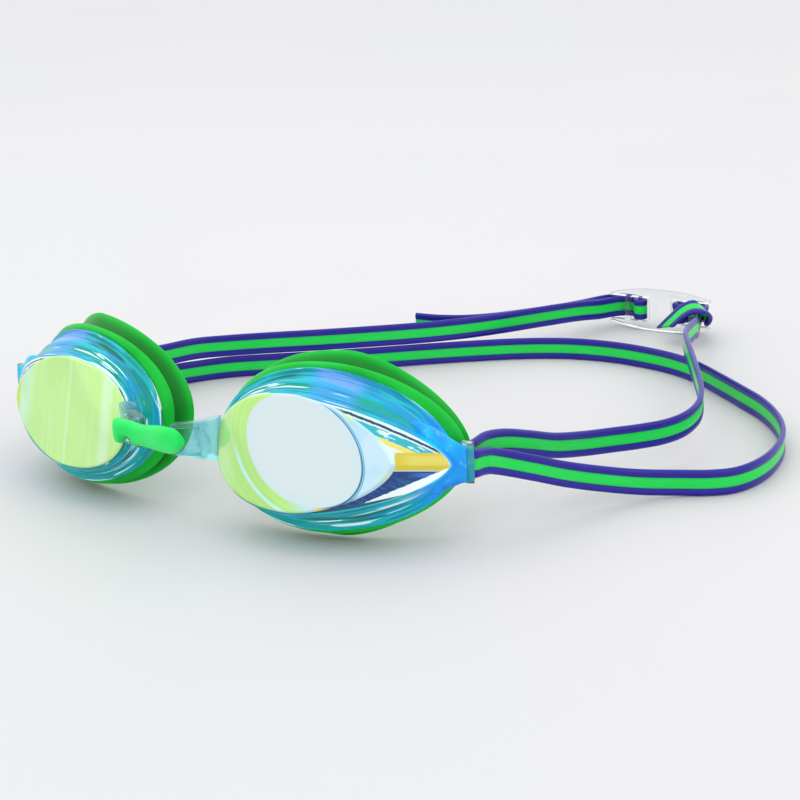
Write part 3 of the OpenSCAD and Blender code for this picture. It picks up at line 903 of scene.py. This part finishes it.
def cup_fittings(side):
    """The nose tab with its two ribs, and the strap anchor with its arm, post, plates and bowed guard."""
    name = "right" if side > 0 else "left"
    tab = [(14.8, -11.6), (11, -13.8), (4.6, -16.3), (4.6, -13.8), (9.4, -11.4), (12.8, -7)]
    made = [prism(name + "_nose_tab", tab, 18.9, 28.3, side, TAB, bevel=0.35, taper=0.125)]
    for k, z in enumerate((20.2, 26.6)):
        made.append(prism("%s_tab_rib_%d" % (name, k + 1),
                          [(11.6, -13.6), (5.4, -16.1), (5.3, -16.45), (11.5, -13.95)], z, z + 0.5, side, TAB,
                          bevel=0.1))
    made.append(anchor_arm(name + "_anchor_arm", side))
    guard_low, guard_tall, guard_outer, guard_bow, guard_inner = 16.0, 8.5, 2.55, 0.3, 2.32
    bowed = []
    for k in range(13):
        t = k / 12
        bowed.append((guard_outer + guard_bow * math.sin(math.pi * t) ** 0.8, guard_low + guard_tall * t))
    bowed += [(guard_inner, z) for _, z in reversed(bowed)]
    made.append(revolved(name + "_anchor_guard", bowed, POST, side, GUARD))
    for k, z in enumerate((15.4, 23.8)):
        plate = [(NEAR_ZERO, z + 0.15), (NEAR_ZERO, z + 0.95), (2.3, z + 0.95), (2.5, z + 0.75), (2.5, z + 0.35),
                 (2.3, z + 0.15)]
        made.append(revolved("%s_anchor_plate_%d" % (name, k + 1), plate, POST, side, TAB))
    made.append(pin(name + "_anchor_post", POST, POST_RADIUS, 15.7, 24.6, side, TAB))
    for piece in made:
        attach(piece, name + "_cup")
        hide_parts(name + "_lens_cup")


def shoulder_material(name, deep, body, light, amount):
    """The blue shoulder that carries the strap anchor, and its guard."""
    m = Material(name)
    place = m.place()
    drift = m.noise(place, 90, 2)
    thin = m.noise(place, 420, 3)
    colour = m.paint(body, [
        (drift.rise(0.46, 0.62), light),
        (drift.rise(0.44, 0.34) * 0.8, deep),
        (thin.rise(0.60, 0.68) * 0.3, "7CE0F6"),
    ])
    solid = m.node("ShaderNodeBsdfPrincipled", Base_Color=colour, Roughness=0.3, Coat_Weight=0.1,
                   Specular_IOR_Level=0.3)
    clear = clear_shader(m, linear("8CE4F2"), (1, 1, 1, 1), 0.04)
    return m.finish(m.blend(amount, clear, solid.outputs[0]))


WALL_PLAIN = shoulder_material("lens_shoulder", "0A78E4", "0AA0F4", "0CCCF4", 0.97)
GUARD = shoulder_material("anchor_guard", "0A7C98", "24AEC6", "6CD8E4", 0.6)
for cup_side in (1, -1):
    lens_shell(cup_side)
    gasket(cup_side)
    cup_fittings(cup_side)

# ---------------------------------------------------------------- nose bridge
BRIDGE_Z = 24.2
BRIDGE_Y = -18.3
BRIDGE_TIP_X = 7.2  # BRIDGE_TIP_X = 7.2 # the far end given for each half's bend, which is not carried out


def bridge_edges(x):
    """Top and bottom of the bar at x, measured from its middle: hooked under on the left, rounded on the right."""
    top = 3.3 - 0.7 * math.sin(math.pi * eased(x, -9.8, 6.0)) ** 2 * 0.8
    bottom = -2.3 - 0.6 * eased(x, -3.0, 6.5)
    if x < -3.6:
        arch = math.sqrt(max(0.0, 1 - ((x + 6.2) / 2.0) ** 2))
        bottom = bottom * (1 - arch) + (-0.7) * arch if arch > 0 else -2.7
    if x > 6.5:
        fall = math.sqrt(max(0.0, 1 - ((x - 6.5) / 3.3) ** 2))
        top, bottom = top * fall, bottom * fall
    return top, min(bottom, top - 0.02)


def bridge_half(name, body, stations):
    """Half of the bar, through the stations along it."""
    n, squareness = 36, 0.75
    rings = []
    for x in stations:
        top, bottom = bridge_edges(x)
        middle_z, half = (top + bottom) / 2, (top - bottom) / 2
        deep = 1.7 - 0.35 * eased(x, -8.8, -9.8) - 0.3 * (1 - half / 3.4)
        ring = []
        for k in range(n):
            c, s = math.cos(2 * math.pi * k / n), math.sin(2 * math.pi * k / n)
            ring.append((x, BRIDGE_Y - MIDDLE_Y + deep * np.sign(c) * abs(c) ** squareness,
                         BRIDGE_Z + middle_z + half * np.sign(s) * abs(s) ** squareness))
        rings.append(ring)
    faces = grid_faces(len(rings), n) + end_faces(len(rings), n)
    piece = new_object(name, np.array(rings).reshape(-1, 3), faces, [BRIDGE])
    fix_normals(piece)
    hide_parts("nose_bridge")
    side = 1 if body == "right_cup" else -1
    bend_y = BRIDGE_Y - MIDDLE_Y
    bend_piece(piece, body, (0, bend_y, BRIDGE_Z), (side * BRIDGE_TIP_X, bend_y, BRIDGE_Z))


# a close pair of stations at the middle keeps the shading of the bar apart from the face between its halves
left_stations = [-9.8, -9.7, -9.4] + list(np.arange(-9.0, -0.1, 0.2)) + [-0.02, 0]
right_stations = [0, 0.02] + list(np.arange(0.25, 9.4, 0.25)) + [9.4, 9.55, 9.68, 9.76, 9.79]
bridge_half("bridge_left_half", "left_cup", left_stations)
bridge_half("bridge_right_half", "right_cup", right_stations)

# ---------------------------------------------------------------- back clip
def joined_mesh(source, name):
    """The CAD's plate again, with its corners joined so that they can be rounded."""
    work = bmesh.new()
    work.from_mesh(source.data)
    bmesh.ops.remove_doubles(work, verts=work.verts, dist=1e-6)
    bmesh.ops.dissolve_limit(work, angle_limit=math.radians(1), verts=work.verts, edges=work.edges)
    mesh = bpy.data.meshes.new(name)
    work.to_mesh(mesh)
    work.free()
    return mesh


clip = bpy.data.objects.new("clear_back_clip", joined_mesh(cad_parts["back_clip"], "clear_back_clip"))
bpy.context.scene.collection.objects.link(clip)
clip.data.materials.clear()
clip.data.materials.append(CLIP)
rounding = clip.modifiers.new("rounding", "BEVEL")
rounding.width = 0.3 * MM
rounding.segments = 3
rounding.limit_method = "ANGLE"
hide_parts("back_clip")
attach(clip, "clip")


# ---------------------------------------------------------------- stage
def make_stage():
    """A pale, slightly uneven floor."""
    m = Material("studio_floor")
    place = m.place()
    drift = m.noise(place, 3, 2)
    fine = m.noise(place, 900, 2)
    colour = m.paint("D3D2D4", [(drift.rise(0.4, 0.7) * 0.5, "CCD3D4")])
    surface = m.node("ShaderNodeBsdfPrincipled", Base_Color=colour, Roughness=fine * 0.1 + 0.5,
                     Specular_IOR_Level=0.3)
    m.finish(surface.outputs[0])
    half = 6.0  # metres
    mesh = bpy.data.meshes.new("floor")
    mesh.from_pydata([(-half, -half, 0), (half, -half, 0), (half, half, 0), (-half, half, 0)], [], [(0, 1, 2, 3)])
    mesh.materials.append(m.material)
    floor = bpy.data.objects.new("floor", mesh)
    bpy.context.scene.collection.objects.link(floor)


def add_light(name, place, target, size, power):
    """A white softbox. Places are in metres."""
    data = bpy.data.lights.new(name, "AREA")
    data.shape = "RECTANGLE"
    data.size, data.size_y = size
    data.energy = power
    light = bpy.data.objects.new(name, data)
    light.location = place
    light.rotation_euler = (Vector(target) - Vector(place)).to_track_quat("-Z", "Y").to_euler()
    bpy.context.scene.collection.objects.link(light)


def make_world(colour, strength):
    """Even light from all round."""
    world = bpy.data.worlds.new("studio")
    world.use_nodes = True
    background = world.node_tree.nodes["Background"]
    background.inputs["Color"].default_value = colour
    background.inputs["Strength"].default_value = strength
    bpy.context.scene.world = world


make_stage()
bpy.context.scene.view_settings.view_transform = "Standard"
make_world((0.95, 0.945, 0.95, 1), 1.27)
add_light("overhead_softbox", (-0.1, 0.1, 0.8), (0, 0.05, 0), (0.9, 0.9), 0.85)
add_light("left_softbox", (-0.7, -0.4, 0.5), (0, 0, 0.02), (0.5, 0.7), 0.6)
add_light("right_softbox", (0.8, -0.1, 0.45), (0, 0.05, 0.02), (0.4, 0.6), 0.5)
